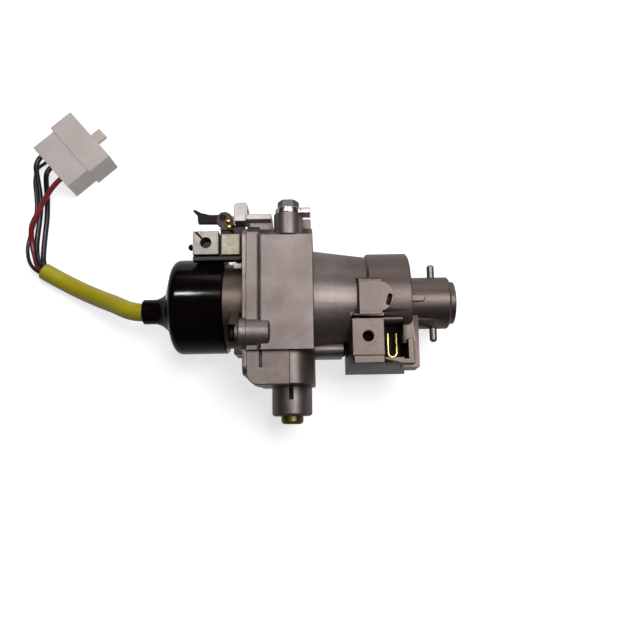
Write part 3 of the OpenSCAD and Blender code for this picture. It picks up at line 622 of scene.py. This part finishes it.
class Piece:
    """A bmesh that becomes one piece of the part."""

    def __init__(self, name: str) -> None:
        """Start an empty piece.

        Args:
            name: Its name.
        """
        self.name = name
        self.bm = bmesh.new()
        self.flats: set[bmesh.types.BMFace] = set()

    @classmethod
    def copy_of(cls, node: str, name: str) -> Piece:
        """Start from a merged copy of a CAD node.

        Args:
            node: The node's name.
            name: The new piece's name.

        Returns:
            The piece.
        """
        piece = cls(name)
        bm = piece.bm
        bm.from_mesh(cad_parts[node].data)
        bmesh.ops.remove_doubles(bm, verts=bm.verts, dist=MERGE)
        bmesh.ops.dissolve_limit(
            bm, angle_limit=math.radians(LEVEL), use_dissolve_boundaries=False,
            verts=bm.verts, edges=bm.edges, delimit=set(),
        )
        return piece

    @classmethod
    def turned(
        cls, name: str, outline: Outline, base: Point, axis: Point, out: Point,
        sweep: float = 360.0, steps: int = 72,
    ) -> Piece:
        """Turn a closed outline about an axis.

        Args:
            name: The new piece's name.
            outline: Its corners as radius and place along the axis, in millimetres.
            base: A point of the axis, in millimetres.
            axis: The axis.
            out: Direction across the axis from which the turn starts.
            sweep: Angle of the turn, in degrees.
            steps: Steps of the turn.

        Returns:
            The piece.
        """
        piece = cls(name)
        bm = piece.bm
        along, side, middle = Vector(axis), Vector(out), Vector(base) * MM
        full = sweep >= 360
        ring = [bm.verts.new(middle + (side * r + along * x) * MM) for r, x in outline]
        edges = [bm.edges.new(pair) for pair in zip(ring, ring[1:] + ring[:1])]
        geom = ring + edges + ([] if full else [bm.faces.new(ring)])
        bmesh.ops.spin(
            bm, geom=geom, cent=middle, axis=along, angle=math.radians(sweep), steps=steps,
            use_merge=full, use_duplicate=False,
        )
        bmesh.ops.remove_doubles(bm, verts=bm.verts, dist=TINY)
        bmesh.ops.recalc_face_normals(bm, faces=bm.faces)
        return piece

    def join(self, other: Piece) -> Piece:
        """Take another piece's faces into this one.

        Args:
            other: The other piece, which is used up.

        Returns:
            The piece itself.
        """
        mesh = bpy.data.meshes.new(other.name)
        other.bm.to_mesh(mesh)
        other.bm.free()
        self.bm.from_mesh(mesh)
        bpy.data.meshes.remove(mesh)
        return self

    def squeeze(self, start: float, share: float) -> Piece:
        """Shorten what lies beyond a place along X.

        Args:
            start: The place, in millimetres.
            share: Share of the length that is left.

        Returns:
            The piece itself.
        """
        for vert in self.bm.verts:
            beyond = vert.co.x - start * MM
            if beyond > 0:
                vert.co.x = start * MM + beyond * share
        return self

    def soften(self, width: float, skip: Box | None = None, least: float = 0.0) -> Piece:
        """Round every sharp edge.

        Args:
            width: Width of the rounding, in millimetres.
            skip: Corners of a box, in millimetres, whose edges stay sharp.
            least: Area, in square millimetres, below which a face keeps its edges.

        Returns:
            The piece itself.
        """
        limit, area = math.radians(SHARP), least * MM * MM
        inner = [e for e in self.bm.edges if len(e.link_faces) == 2]
        sharp = [e for e in inner if e.calc_face_angle(0.0) > limit]
        sharp = [e for e in sharp if min(f.calc_area() for f in e.link_faces) >= area]
        if skip:
            sharp = [e for e in sharp if not any(within(skip, v.co) for v in e.verts)]
        bmesh.ops.bevel(
            self.bm, geom=sharp, offset=width * MM, offset_type="OFFSET", affect="EDGES",
            segments=ROUND_STEPS, profile=0.5, material=-1, clamp_overlap=False, loop_slide=True,
        )
        return self

    def flatten(self, region: Box) -> Piece:
        """Mark the flat faces of a region, so that no shading runs over them.

        Args:
            region: Corners of the region's box, in millimetres.

        Returns:
            The piece itself.
        """
        for face in self.bm.faces:
            square = max(map(abs, face.normal)) > SQUARE
            if square and within(region, face.calc_center_median()):
                self.flats.add(face)
        return self

    @classmethod
    def pierced(
        cls, name: str, outer: Outline, inner: Outline, low: float, high: float
    ) -> Piece:
        """Make a plate with a hole from two rings of as many corners.

        Args:
            name: The new piece's name.
            outer: Corners of its edge, in millimetres.
            inner: Corners of its hole, in millimetres.
            low: Lower end along Z, in millimetres.
            high: Upper end along Z, in millimetres.

        Returns:
            The piece.
        """
        piece = cls(name)
        rings = [
            [piece.bm.verts.new((x * MM, y * MM, z * MM)) for x, y in ring]
            for ring, z in ((outer, high), (inner, high), (inner, low), (outer, low))
        ]
        for one, two in zip(rings, rings[1:] + rings[:1]):
            for i in range(len(one)):
                j = (i + 1) % len(one)
                piece.bm.faces.new((one[i], one[j], two[j], two[i]))
        bmesh.ops.recalc_face_normals(piece.bm, faces=piece.bm.faces)
        return piece

    @classmethod
    def prism(cls, name: str, outline: Outline, low: float, high: float) -> Piece:
        """Raise an outline on the XY plane.

        Args:
            name: The new piece's name.
            outline: Its corners, in millimetres.
            low: Lower end along Z, in millimetres.
            high: Upper end along Z, in millimetres.

        Returns:
            The piece.
        """
        piece = cls(name)
        foot = [piece.bm.verts.new((x * MM, y * MM, low * MM)) for x, y in outline]
        made = bmesh.ops.extrude_face_region(piece.bm, geom=[piece.bm.faces.new(foot)])
        raised = [v for v in made["geom"] if isinstance(v, bmesh.types.BMVert)]
        bmesh.ops.translate(piece.bm, verts=raised, vec=(0, 0, (high - low) * MM))
        bmesh.ops.recalc_face_normals(piece.bm, faces=piece.bm.faces)
        return piece

    def finish(
        self, look: Look, body: Body | None = Body.HOUSING, replaces: Sequence[str] = ()
    ) -> bpy.types.Object:
        """Turn the bmesh into an object that rides on a body.

        Args:
            look: Its finish.
            body: The CAD body that it rides on, or nothing if it rides on none.
            replaces: CAD nodes that it stands for.

        Returns:
            The object.
        """
        mesh = bpy.data.meshes.new(self.name)
        for face in self.bm.faces:
            face.smooth = face not in self.flats
        self.bm.to_mesh(mesh)
        self.bm.free()
        mesh.set_sharp_from_angle(angle=math.radians(SHADE_BREAK))
        mesh.materials.append(Paint.of(look))
        made = bpy.data.objects.new(self.name, mesh)
        bpy.context.scene.collection.objects.link(made)
        even = made.modifiers.new("even_normals", "WEIGHTED_NORMAL")
        even.keep_sharp = True
        even.weight = FACE_WEIGHT
        if body:
            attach(made, body.value)
        if replaces:
            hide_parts(*replaces)
        log.info("%s rides on %s", self.name, body.value if body else "two bodies")
        return made


def dress(node: str, look: Look) -> None:
    """Give a CAD node its finish.

    Args:
        node: The node's name.
        look: Its finish.
    """
    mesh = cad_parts[node].data
    mesh.materials.clear()
    mesh.materials.append(Paint.of(look))
    log.info("%s dressed as %s", node, look.name.lower())


def rounded(
    node: str, look: Look, width: float, body: Body = Body.HOUSING
) -> bpy.types.Object:
    """Replace a CAD node by a copy with rounded edges.

    Args:
        node: The node's name.
        look: Its finish.
        width: Width of the rounding, in millimetres.
        body: The body that it rides on.

    Returns:
        The copy.
    """
    piece = Piece.copy_of(node, node + "_cast").soften(width)
    return piece.finish(look, body, [node])


@dataclass(frozen=True)
class Lamp:
    """One soft rectangular lamp that faces the part."""

    name: str
    place: Point
    size: Pair
    power: float
    shadow: bool = True

    def hang(self) -> None:
        """Put the lamp in its place, in millimetres, with its sides in metres."""
        data = bpy.data.lights.new(self.name, "AREA")
        data.shape = "RECTANGLE"
        data.size, data.size_y = self.size
        data.energy = self.power
        data.use_shadow = self.shadow
        made = bpy.data.objects.new(self.name, data)
        aim = Vector(self.place).normalized()
        side = Vector((0, 1, 0)).cross(aim).normalized()
        turn = Matrix((side, aim.cross(side), aim)).transposed()
        made.matrix_world = Matrix.Translation(Vector(self.place) * MM) @ turn.to_4x4()
        bpy.context.scene.collection.objects.link(made)


@dataclass
class Studio:
    """Camera, floor, lamps and air."""

    # The camera's aim and distance in millimetres, and its lean in degrees.
    target: Point = (9.25, -1.5, 25.5)
    distance: float = 310.0
    tilt: float = 10.0
    roll: float = -1.0
    focal_px: float = 667.0
    image_px: float = 640.0
    sensor: float = 36.0
    clip: float = 0.01
    # Half a side of the floor in metres, and its gap under the part in millimetres.
    floor_half: float = 4.0
    floor_gap: float = 0.3
    floor_seen: Colour = (0.66, 0.67, 0.68, 1)
    floor_unseen: Colour = (0.05, 0.05, 0.05, 1)
    floor_lift: float = 0.6
    # How bright metal sees the floor, from the front to the back of a band in metres.
    mirror_band: Pair = (-0.2, 0.2)
    mirror: Pair = (0.1, 0.95)
    # How bright the air is to the part and to the camera.
    air: Pair = (0.03, 1.0)
    # The key lamp up to the right, a second one behind, and the strip that the boot mirrors.
    lamps: Sequence[Lamp] = (
        Lamp("key", (300, 175, 1000), (0.48, 0.48), 6.7),
        Lamp("back", (160, 900, 420), (0.8, 0.4), 2.0),
        Lamp("strip", (-140, 175, 450), (0.021, 0.045), 0.5, shadow=False),
    )

    def build(self) -> None:
        """Set up the whole studio."""
        self.camera()
        self.floor()
        for lamp in self.lamps:
            lamp.hang()
        self.world()
        bpy.context.scene.view_settings.view_transform = "Standard"

    def camera(self) -> None:
        """Look down on the part, as the photograph does."""
        data = bpy.data.cameras.new("camera")
        data.sensor_fit = "HORIZONTAL"
        data.sensor_width = self.sensor
        data.lens = self.sensor * self.focal_px / self.image_px
        data.clip_start = self.clip
        made = bpy.data.objects.new("camera", data)
        bpy.context.scene.collection.objects.link(made)
        tilt = math.radians(self.tilt)
        away = Vector((0, -math.sin(tilt), math.cos(tilt))) * self.distance
        turn = Matrix.Rotation(tilt, 4, "X") @ Matrix.Rotation(math.radians(self.roll), 4, "Z")
        made.matrix_world = Matrix.Translation((Vector(self.target) + away) * MM) @ turn
        bpy.context.scene.camera = made

    def floor(self) -> None:
        """Lay a white floor that keeps the shadow."""
        bm = bmesh.new()
        bmesh.ops.create_grid(bm, x_segments=1, y_segments=1, size=self.floor_half)
        bmesh.ops.translate(bm, verts=bm.verts, vec=(0, 0, -self.floor_gap * MM))
        mesh = bpy.data.meshes.new("floor")
        bm.to_mesh(mesh)
        bm.free()
        net = Net(bpy.data.materials.new("floor_white"))
        seen = net.node("ShaderNodeLightPath", output="Is Camera Ray")
        gloss = net.node("ShaderNodeLightPath", output="Is Glossy Ray")
        colour = net.mix(seen, self.floor_unseen, self.floor_seen)
        matte = net.node("ShaderNodeBsdfDiffuse", None, {"Color": colour})
        behind = net.span(net.along("Y"), *self.mirror_band, self.mirror)
        strength = seen * self.floor_lift + gloss * behind
        white = (1, 1, 1, 1)
        shine = net.node("ShaderNodeEmission", None, {"Color": white, "Strength": strength})
        both = net.node("ShaderNodeAddShader", None, {0: matte, 1: shine})
        net.node("ShaderNodeOutputMaterial", None, {"Surface": both})
        mesh.materials.append(net.owner)
        made = bpy.data.objects.new("floor", mesh)
        bpy.context.scene.collection.objects.link(made)

    def world(self) -> None:
        """Surround the part with dim air that is white to the camera."""
        net = Net(bpy.data.worlds.new("studio"))
        bpy.context.scene.world = net.owner
        seen = net.node("ShaderNodeLightPath", output="Is Camera Ray")
        level = net.span(seen, 0, 1, self.air)
        air = net.node("ShaderNodeBackground", None, {"Strength": level})
        net.node("ShaderNodeOutputWorld", None, {"Surface": air})


@dataclass
class Lead:
    """The yellow sleeve with its four wires, and the connector at their end."""

    # Diameters and routes are in millimetres, the routes as in the part's source.
    sleeve_d: float = 8.6
    wire_d: float = 2.6
    thin_d: float = 1.8
    sleeve: Sequence[Point] = (
        (-70, 4, 23.5), (-75.5, 4, 23.5), (-81.5, 5.6, 21.6), (-88.5, 9, 17.4),
        (-96.5, 12.6, 12.8), (-105, 16.6, 8.6), (-113.5, 20.9, 5.8), (-121.5, 25.2, 4.7),
        (-129, 29.5, 4.5),
    )
    black: Sequence[Point] = (
        (-125.7, 29.3, 6), (-128.3, 30.8, 6), (-132, 34.2, 5), (-133.8, 39.5, 3.9),
        (-134.2, 46, 3.4), (-133.7, 54, 3.4), (-133, 62, 4.2), (-133, 70, 6),
        (-133.6, 77.5, 8.6), (-133.7, 83, 10.6), (-131.9, 87.3, 11), (-127.4, 91.3, 11),
    )
    second: Sequence[Point] = (
        (-125.7, 29.3, 3), (-128.3, 30.8, 3), (-130.7, 34.8, 2.3), (-131.2, 41, 1.8),
        (-130.9, 50, 1.7), (-130.2, 58, 2.4), (-129.6, 66, 4.4), (-129.1, 73, 7.8),
        (-128.4, 78, 10.4), (-126.7, 81.3, 11), (-122.1, 85.2, 11),
    )
    red: Sequence[Point] = (
        (-127.2, 26.7, 3), (-129.8, 28.2, 3), (-133.3, 32, 2.3), (-135.7, 38.5, 1.7),
        (-137.4, 46, 2.2), (-136.3, 53, 5.8), (-132.8, 59.6, 7.4), (-129.2, 66, 8.8),
        (-125.2, 71.4, 10.2), (-121.4, 75.3, 11), (-116.9, 79.2, 11),
    )
    thin: Sequence[Point] = (
        (-127.3, 26.5, 6), (-129.9, 28, 6), (-134.4, 31, 4.6), (-138.4, 36, 1.8),
        (-139.9, 43, 1), (-138.8, 50, 1), (-137, 57, 1), (-136.4, 64, 1.2),
        (-136.9, 71, 1.7), (-137.2, 78, 3.2), (-135.7, 84.1, 4.5), (-131.9, 87.3, 4.5),
        (-127.4, 91.3, 4.5),
    )
    cord_round: int = 5
    # The connector's top, how far below it a step is lifted, and what is left of the step.
    plug_top: float = 15.0
    plug_step: Pair = (0.9, 0.1)
    plug_rest: float = 0.03
    plug_edge: float = 0.35
    plug_least: float = 2.0

    @staticmethod
    def smooth(points: Sequence[Point], steps: int = 4) -> list[Vector]:
        """Run one smooth curve through a route's points.

        Args:
            points: The route, in millimetres.
            steps: Points between two of the route's points.

        Returns:
            The curve's points, in metres.
        """
        p = metres(points)
        ends = [p[0] * 2 - p[1], *p, p[-1] * 2 - p[-2]]
        out: list[Vector] = []
        for a, b, c, d in zip(ends, ends[1:], ends[2:], ends[3:]):
            for i in range(steps):
                t = i / steps
                out.append(0.5 * (2 * b + (c - a) * t + (2 * a - 5 * b + 4 * c - d) * t * t
                                  + (3 * b - a - 3 * c + d) * t * t * t))
        return out + [p[-1]]

    def cord(
        self, node: str, points: Sequence[Point], diameter: float, look: Look,
    ) -> bpy.types.Object:
        """Lay one cord along its route.

        Args:
            node: The CAD node that it stands for.
            points: The route, in millimetres.
            diameter: The cord's diameter, in millimetres.
            look: Its finish.

        Returns:
            The cord.
        """
        line = self.smooth(points)
        data = bpy.data.curves.new(node + "_cord", "CURVE")
        data.dimensions = "3D"
        data.bevel_depth = diameter / 2 * MM
        data.bevel_resolution = self.cord_round
        data.use_fill_caps = True
        spline = data.splines.new("POLY")
        spline.points.add(len(line) - 1)
        for point, at in zip(spline.points, line):
            point.co = (*at, 1.0)
        spline.use_smooth = True
        data.materials.append(Paint.of(look))
        made = bpy.data.objects.new(node + "_cord", data)
        bpy.context.scene.collection.objects.link(made)
        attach(made, Body.HOUSING.value)
        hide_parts(node)
        length = sum((b - a).length for a, b in zip(line, line[1:]))
        diameter * MM
        log.info("%s is %.1f mm long", made.name, length / MM)
        return made

    def plug(self) -> bpy.types.Object:
        """Round the connector, with one even top.

        Returns:
            The connector.
        """
        piece = Piece.copy_of("connector", "connector_cast")
        low, high = (self.plug_top - depth for depth in self.plug_step)
        for vert in piece.bm.verts:
            if low * MM < vert.co.z < high * MM:
                vert.co.z = (self.plug_top - self.plug_rest) * MM
        piece.soften(self.plug_edge, least=self.plug_least)
        return piece.finish(Look.NYLON, replaces=["connector"])

    def build(self) -> None:
        """Lay the sleeve and the wires and dress the connector."""
        dress("connector_terminals", Look.BRASS)
        ends = [self.plug(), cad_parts["connector_terminals"]]
        self.cord("yellow_sleeve", self.sleeve, self.sleeve_d, Look.SLEEVE)
        for node, route, across, look in (
            ("black_wire", self.black, self.wire_d, Look.BLACK_WIRE),
            ("second_wire", self.second, self.wire_d, Look.BLACK_WIRE),
            ("red_wire", self.red, self.wire_d, Look.RED_WIRE),
            ("thin_wire", self.thin, self.thin_d, Look.BLACK_WIRE),
        ):
            self.cord(node, route, across, look)


@dataclass
class LockBody:
    """The casting with the key cylinder, the lock bolt and the nose pins."""

    # Lengths are in millimetres. A turned outline is counted from its axis and along it.
    axis: Point = (-4, 5.5, 25.5)
    edge: float = 0.22
    # Where the end ring starts along X, and the share of it that is kept.
    nose_end: float = 68.7
    ring_share: float = 0.49
    # The pocket block, whose edges stay sharp.
    pocket: Box = ((19.5, -28.5, 21), (53.5, -1.2, 60))
    # The plate on the bridge: its round end, its reach to the left, and its slot.
    disc: Point = (34.6, 4.3, 50.08)
    disc_r: float = 6.65
    plate_left: float = 8.3
    plate_thick: float = 1.2
    plate_edge: float = 0.12
    slot_at: Pair = (4.6, -1.6)
    slot_turn: float = -15.0
    slot_r: float = 1.0
    slot_half: float = 1.6
    # The pad on the pocket block with its hole, and the bars with their tops.
    pad_box: Rect = ((23.2, -20.8), (36.75, -4.9))
    pad_top: float = 47.56
    pad_thick: float = 1.5
    pad_edge: float = 0.15
    hole: Pair = (29.9, -12.6)
    hole_r: float = 2.5
    bars: Sequence[tuple[Rect, float]] = (
        (((23.6, -24.3), (36.7, -21.0)), 47.3),
        (((36.9, -24.7), (47.9, -22.6)), 47.2),
        (((46.9, -24.7), (49.4, -13.9)), 47.15),
    )
    bar_depth: float = 4.0
    bar_edge: float = 0.3
    # Fills of the collar's hollow and of the spigot's notch, with angles in degrees.
    collar_ring: Rect = ((20.5, 44.4), (23.22, 53))
    collar_lean: float = 16.0
    collar_sweep: float = -26.0
    collar_steps: int = 12
    spigot_ring: Rect = ((5.3, 38.2), (9.12, 44.2))
    spigot_lean: float = 6.0
    spigot_sweep: float = 52.0
    spigot_steps: int = 16
    # The rib under the cone, placed from the key axis in Y and Z.
    rib_at: Pair = (-22.3, 10.0)
    rib_r: float = 3.4
    rib_span: Pair = (10.0, 24.0)
    rib_edge: float = 0.6
    rib_steps: int = 32
    # The plate at the foot of the flange, with one round corner.
    foot: Rect = ((-22.3, -33.0), (-4.0, -25.5))
    foot_r: float = 5.0
    foot_z: Pair = (34.0, 49.52)
    foot_edge: float = 0.5
    pin_edge: float = 0.2
    bolt_edge: float = 0.2
    plug_edge: float = 0.15
    works: Sequence[tuple[str, Look]] = (
        ("plug_wafers", Look.BRASS), ("drive_shaft", Look.DULL), ("shaft_bush", Look.BRASS),
    )

    def plate(self) -> Piece:
        """Make the plate with a slanted slot that lies on the bridge.

        Returns:
            The plate.
        """
        outer, inner = [], []
        turn = Matrix.Rotation(math.radians(self.slot_turn), 2)
        x, y, z = self.disc
        for at in around(RING):
            reach = self.disc_r
            if at.x < 0:
                reach = min(self.plate_left / -at.x, self.disc_r / max(abs(at.y), TINY))
            outer.append((x + reach * at.x, y + reach * at.y))
            cut = at * self.slot_r
            cut.y += math.copysign(self.slot_half, cut.y)
            cut = turn @ cut
            inner.append((x + self.slot_at[0] + cut.x, y + self.slot_at[1] + cut.y))
        piece = Piece.pierced("bridge_plate", outer, inner, z - self.plate_thick, z)
        return piece.soften(self.plate_edge)

    def pad(self) -> Piece:
        """Make the flat pad with its hole, the strip below it and the rails of the window.

        Returns:
            The pad.
        """
        (left, low), (right, high) = self.pad_box
        x, y = self.hole
        outer = []
        for at in around(RING):
            reach = min(
                (right - x if at.x > 0 else x - left) / max(abs(at.x), TINY),
                (high - y if at.y > 0 else y - low) / max(abs(at.y), TINY),
            )
            outer.append((x + reach * at.x, y + reach * at.y))
        for corner in corners(self.pad_box):
            near = min(range(RING), key=lambda i: math.dist(outer[i], corner))
            outer[near] = corner
        inner = [(x + self.hole_r * at.x, y + self.hole_r * at.y) for at in around(RING)]
        bottom = self.pad_top - self.pad_thick
        piece = Piece.pierced("pad_plate", outer, inner, bottom, self.pad_top)
        piece.soften(self.pad_edge)
        for rect, top in self.bars:
            bar = Piece.prism("bar", corners(rect), top - self.bar_depth, top)
            piece.join(bar.soften(self.bar_edge))
        return piece

    def collar_fill(self) -> Piece:
        """Fill the hollow of the collar.

        Returns:
            The fill.
        """
        lean = math.radians(self.collar_lean)
        return Piece.turned(
            "collar_fill", corners(self.collar_ring), self.axis, X_AXIS,
            (0, -math.sin(lean), math.cos(lean)), self.collar_sweep, self.collar_steps,
        )

    def spigot_fill(self) -> Piece:
        """Narrow the notch of the spigot to a slit.

        Returns:
            The fill.
        """
        lean = math.radians(self.spigot_lean)
        return Piece.turned(
            "spigot_fill", corners(self.spigot_ring), self.axis, (0, -1, 0),
            (-math.sin(lean), 0, math.cos(lean)), self.spigot_sweep, self.spigot_steps,
        )

    def rib(self) -> Piece:
        """Turn the round rib under the cone.

        Returns:
            The rib.
        """
        x, y, z = self.axis
        low, high = self.rib_span
        full, flat, bevel = self.rib_r, self.rib_r - self.rib_edge, self.rib_edge
        outline = (
            (0, low), (flat, low), (full, low + bevel), (full, high - bevel), (flat, high),
            (0, high),
        )
        base = (x, y + self.rib_at[0], z + self.rib_at[1])
        return Piece.turned("rib", outline, base, X_AXIS, Z_AXIS, steps=self.rib_steps)

    def foot_plate(self) -> Piece:
        """Make the plate with a round corner at the foot of the flange.

        Returns:
            The plate.
        """
        (left, low), (right, high) = self.foot
        angles = [math.radians(180 + 90 * i / CORNER) for i in range(CORNER + 1)]
        x, y, r = left + self.foot_r, low + self.foot_r, self.foot_r
        outline = [(x + r * math.cos(a), y + r * math.sin(a)) for a in angles]
        outline += [(right, low), (right, high), (left, high)]
        return Piece.prism("foot_plate", outline, *self.foot_z).soften(self.foot_edge)

    def casting(self) -> None:
        """Round the casting and add the forms that its solid lacks."""
        piece = Piece.copy_of("lock_body", "lock_body_cast")
        piece.squeeze(self.nose_end, self.ring_share).soften(self.edge, skip=self.pocket)
        for form in (
            self.plate(), self.pad(), self.collar_fill(), self.spigot_fill(), self.rib(),
            self.foot_plate(),
        ):
            piece.join(form)
        piece.flatten(self.pocket)
        piece.finish(Look.CASTING, replaces=["lock_body"])

    def key_plug(self) -> None:
        """Round the key plug, shortened with the end ring."""
        piece = Piece.copy_of("key_plug", "key_plug_cast")
        piece.squeeze(self.nose_end, self.ring_share).soften(self.plug_edge)
        piece.finish(Look.PLUG, Body.KEY, ["key_plug"])

    def spring(self) -> None:
        """Copy the bolt's spring into a piece that rides on no body, with its place baked into its
        corners.
        """
        piece = Piece.copy_of("bolt_spring", "bolt_spring_coil")
        coil = piece.finish(Look.PLATE, None, ["bolt_spring"])
        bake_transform(coil)

    def build(self) -> None:
        """Round the casting and dress what it holds."""
        self.casting()
        rounded("nose_pins", Look.DULL, self.pin_edge)
        rounded("lock_bolt", Look.BOLT, self.bolt_edge, Body.BOLT)
        self.key_plug()
        for node, look in self.works:
            dress(node, look)
        self.spring()


@dataclass
class SwitchUnit:
    """The end plate, the switch case with its works, and the boot."""

    # Lengths are in millimetres, those along the boot counted from the axis point in X.
    axis: Point = (-4, 5.5, 25.5)
    rim: float = -29.3
    case_end: float = -38.2
    bend: float = -50.0
    end: float = -58.0
    boot_r: float = 21.9
    case_r: float = 19.65
    inner_r: float = 17.4
    lip: float = 0.6
    # The shoulder's radius, and its steps of so many degrees.
    shoulder: float = 3.8
    shoulder_steps: int = 8
    shoulder_step: float = 9.0
    # The boot's end: radius of its face, of its hole and of its inside, and its wall.
    face_r: float = 6.0
    hole_r: float = 3.8
    floor_r: float = 9.0
    wall: float = 3.4
    boot_steps: int = 96
    # The nozzle's tip, and its outline from there.
    nozzle: Point = (-73.3, 4.0, 23.5)
    spout: Outline = (
        (4.25, 0), (5.3, 0), (5.8, 0.5), (5.8, 6.3), (6.8, 8.9), (8.4, 10.9), (10.4, 12.7),
        (10.4, 13.5), (4.25, 13.5),
    )
    plate_edge: float = 0.25
    case_edge: float = 0.35
    screw_edge: float = 0.15
    works: Sequence[tuple[str, Look]] = (
        ("switch_base", Look.PHENOLIC), ("contact_studs", Look.BRASS),
        ("switch_rotor", Look.PALE), ("contact_bridge", Look.BRASS),
        ("return_spring", Look.PLATE),
    )

    def boot(self) -> None:
        """Turn the boot with its straight shoulder and its flared nozzle."""
        middle, r = self.boot_r - self.shoulder, self.shoulder
        inside = self.end + self.wall
        arc = [math.radians(-self.shoulder_step * i) for i in range(self.shoulder_steps + 1)]
        outline = [
            (self.case_r, self.rim), (self.boot_r - self.lip, self.rim),
            (self.boot_r, self.rim - self.lip),
        ]
        outline += [(middle + r * math.cos(a), self.bend + r * math.sin(a)) for a in arc]
        outline += [
            (self.face_r, self.end), (self.hole_r, self.end), (self.hole_r, inside),
            (self.floor_r, inside), (self.inner_r, self.bend), (self.inner_r, self.case_end),
            (self.case_r, self.case_end),
        ]
        piece = Piece.turned(
            "rubber_boot_cast", outline, self.axis, X_AXIS, Z_AXIS, steps=self.boot_steps
        )
        piece.join(Piece.turned("nozzle", self.spout, self.nozzle, X_AXIS, Z_AXIS))
        piece.finish(Look.BOOT, replaces=["rubber_boot"])

    def build(self) -> None:
        """Round the outer pieces and dress the works."""
        rounded("end_plate", Look.DULL, self.plate_edge)
        rounded("switch_case", Look.CUP, self.case_edge)
        self.boot()
        rounded("case_screws", Look.BLACKED, self.screw_edge)
        for node, look in self.works:
            dress(node, look)


@dataclass
class TopFittings:
    """The hex bolt, washer, bracket, lever and terminals above the casting."""

    # The bolt head's turn in degrees, its share across, and its rounding in millimetres.
    head_turn: float = 30.0
    head_share: float = 0.84
    head_edge: float = 0.25
    # Each fitting's finish, rounding in millimetres, and body.
    fittings: Sequence[tuple[str, Look, float, Body]] = (
        ("tab_washer", Look.CHROME, 0.35, Body.HOUSING),
        ("bracket", Look.PLATE, 0.3, Body.HOUSING),
        ("lever_pin", Look.BLACKED, 0.15, Body.HOUSING),
        ("trip_lever", Look.BLACKED, 0.3, Body.LEVER),
        ("lever_cap", Look.PHENOLIC, 0.3, Body.HOUSING),
        ("cap_rivets", Look.BRASS, 0.1, Body.HOUSING),
        ("terminal_base", Look.CASE, 0.3, Body.HOUSING),
        ("terminal_block", Look.TERMINAL, 0.25, Body.HOUSING),
        ("terminal_screw", Look.BLACKED, 0.1, Body.HOUSING),
        ("contact_block", Look.PALE, 0.25, Body.HOUSING),
    )

    def hex_bolt(self) -> None:
        """Turn the bolt's head so that one flat faces the front, and narrow it."""
        piece = Piece.copy_of("hex_bolt", "hex_bolt_cast")
        bm = piece.bm
        places = [v.co for v in bm.verts]
        middle = (Vector(map(min, zip(*places))) + Vector(map(max, zip(*places)))) / 2
        turn = Matrix.Rotation(math.radians(self.head_turn), 3, "Y")
        bmesh.ops.rotate(bm, cent=middle, matrix=turn, verts=bm.verts)
        share = (self.head_share, 1, self.head_share)
        bmesh.ops.scale(bm, vec=share, space=Matrix.Translation(-middle), verts=bm.verts)
        piece.soften(self.head_edge).finish(Look.HEAD, replaces=["hex_bolt"])

    def build(self) -> None:
        """Round and dress each fitting."""
        self.hex_bolt()
        for fitting in self.fittings:
            rounded(*fitting)


@dataclass
class Pocket:
    """The insert and the contact spring in the window."""

    insert_edge: float = 0.25

    def build(self) -> None:
        """Round and dress both."""
        rounded("pocket_insert", Look.INSERT, self.insert_edge)
        dress("pocket_spring", Look.WIRE)


def main() -> None:
    """Build the scene in order."""
    logging.basicConfig(level=logging.INFO, format="%(message)s")
    Studio().build()
    Lead().build()
    for part in (LockBody(), SwitchUnit(), TopFittings(), Pocket()):
        part.build()


if __name__ == "__main__":
    main()
